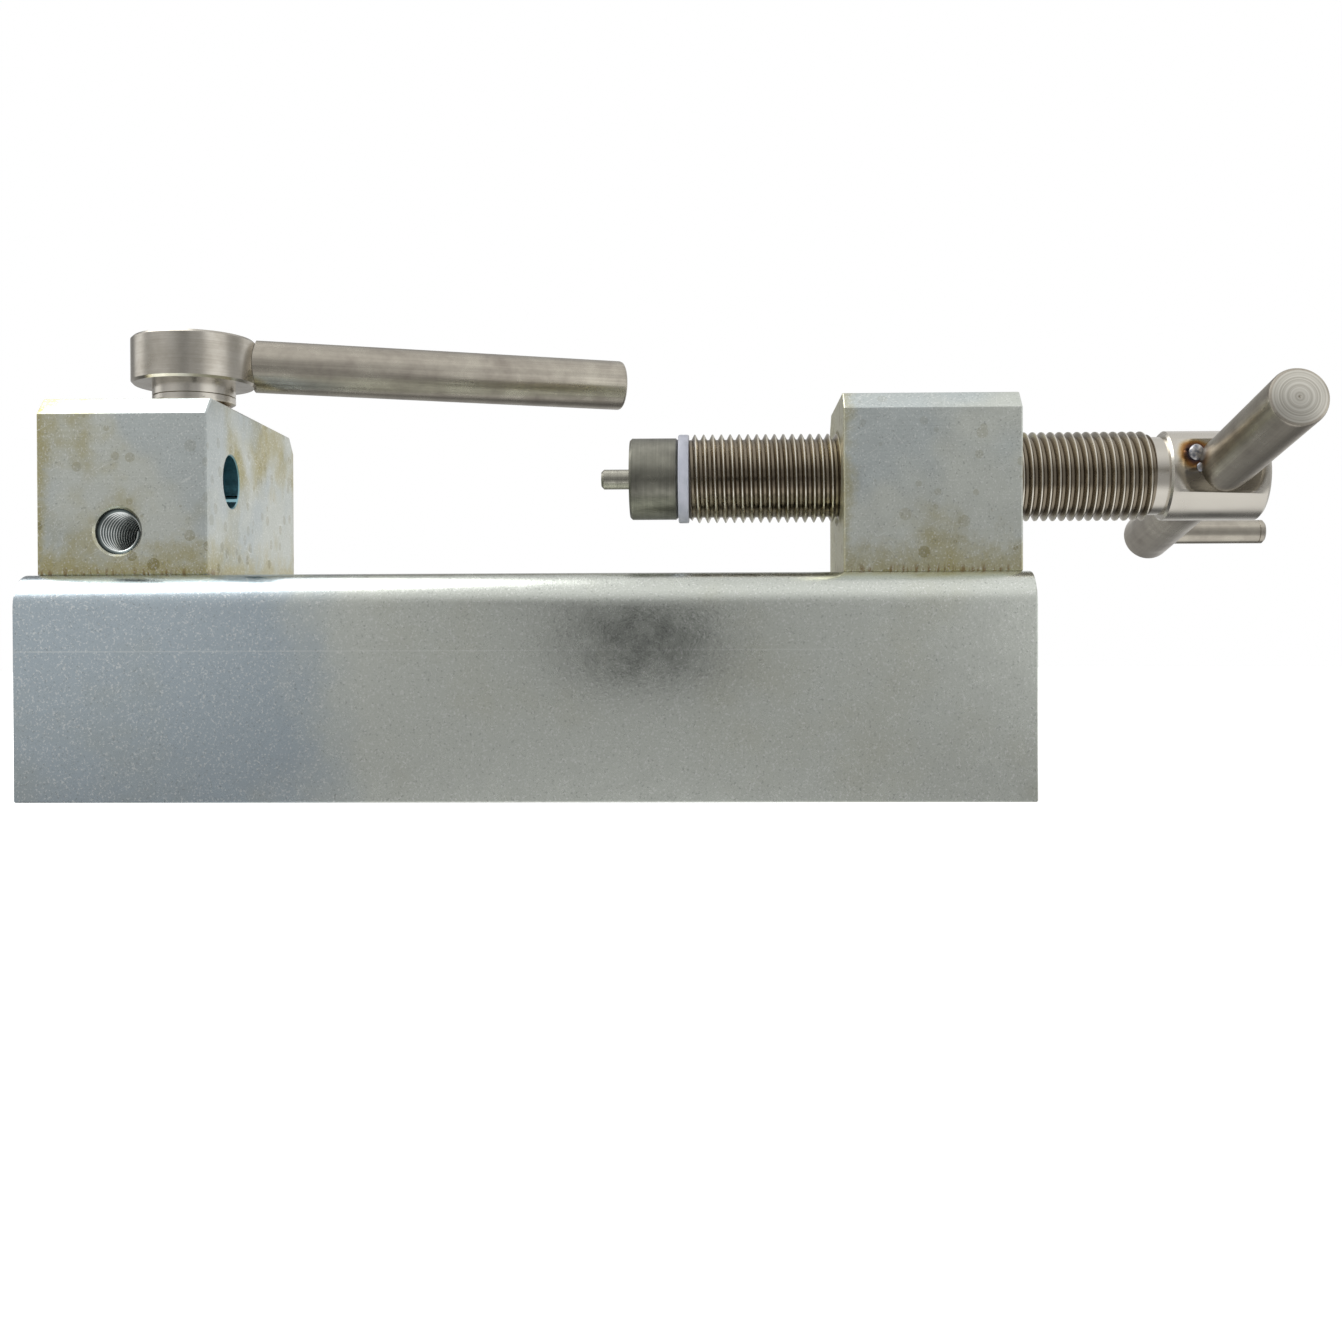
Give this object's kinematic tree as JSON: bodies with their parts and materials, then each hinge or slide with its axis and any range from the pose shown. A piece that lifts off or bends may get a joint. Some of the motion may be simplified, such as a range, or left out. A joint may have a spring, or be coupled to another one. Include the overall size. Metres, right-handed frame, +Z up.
{
  "type": "bench vise",
  "caption": "Bench screw press vise: folded channel base, bored clamp block with an upright lever screw, and a threaded block with a spindle, tommy bar and swivelling press head.",
  "frame": {"origin": "middle of the whole tool's bounding box, on the surface that it stands on", "axes": "+X along the spindle from the clamp block towards the tommy bar, +Y from the front to the rear, +Z up"},
  "size_m": [0.291, 0.1248, 0.1107],
  "materials": {
    "zinc_plated_steel": "bright zinc plated, passivated",
    "stainless_thread": "cut thread",
    "turned_stainless": "turned",
    "drawn_stainless": "drawn, satin",
    "tool_steel": "turned, hardened",
    "weld_metal": "heat tinted",
    "white_plastic": "moulded",
    "black_oxide_steel": "black oxide",
    "spring_steel": "tempered",
    "ground_steel": "ground",
    "brass": "turned"
  },
  "bodies": {
    "frame": {"base_channel": "zinc_plated_steel", "clamp_block": "zinc_plated_steel", "spindle_block": "zinc_plated_steel", "clamp_block_bolts": "black_oxide_steel", "clamp_block_lock_washers": "spring_steel", "clamp_block_dowels": "ground_steel", "spindle_block_bolts": "black_oxide_steel", "spindle_block_lock_washers": "spring_steel", "spindle_block_dowels": "ground_steel"},
    "press_head": {"press_head": "tool_steel", "pilot_pin": "drawn_stainless", "thrust_washer": "white_plastic", "thrust_ball": "ground_steel", "head_retaining_ring": "spring_steel"},
    "spindle": {"spindle": "stainless_thread", "tommy_bar": "drawn_stainless", "crank_peg": "drawn_stainless", "tack_weld": "weld_metal"},
    "clamp_pad": {"clamp_pad": "brass", "pad_retaining_ring": "spring_steel"},
    "clamp_screw": {"clamp_screw": "stainless_thread", "lever_hub": "turned_stainless", "lever_rod": "drawn_stainless"}
  },
  "joints": [
    {"name": "spindle_feed", "type": "slide", "parent": "frame", "child": "press_head", "axis": [1, 0, 0], "range_m": [-0.0321, 0.0321]},
    {"name": "spindle_turn", "type": "hinge", "parent": "press_head", "child": "spindle", "pos_m": [-0.1455, -0.01033, 0.0712], "axis": [1, 0, 0], "range_deg": [-5760, 5760]},
    {"name": "clamp_feed", "type": "slide", "parent": "frame", "child": "clamp_pad", "axis": [0, 0, 1], "range_m": [-0.0046, 0.0101]},
    {"name": "clamp_turn", "type": "hinge", "parent": "clamp_pad", "child": "clamp_screw", "pos_m": [-0.12475, 0.01997, 0], "axis": [0, 0, 1], "range_deg": [-810, 1800]}
  ],
  "couplings": [
    {"joint": "spindle_feed", "follows": "spindle_turn", "m_per_rad": 0.00031831},
    {"joint": "clamp_feed", "follows": "clamp_turn", "m_per_rad": 0.00031831}
  ]
}
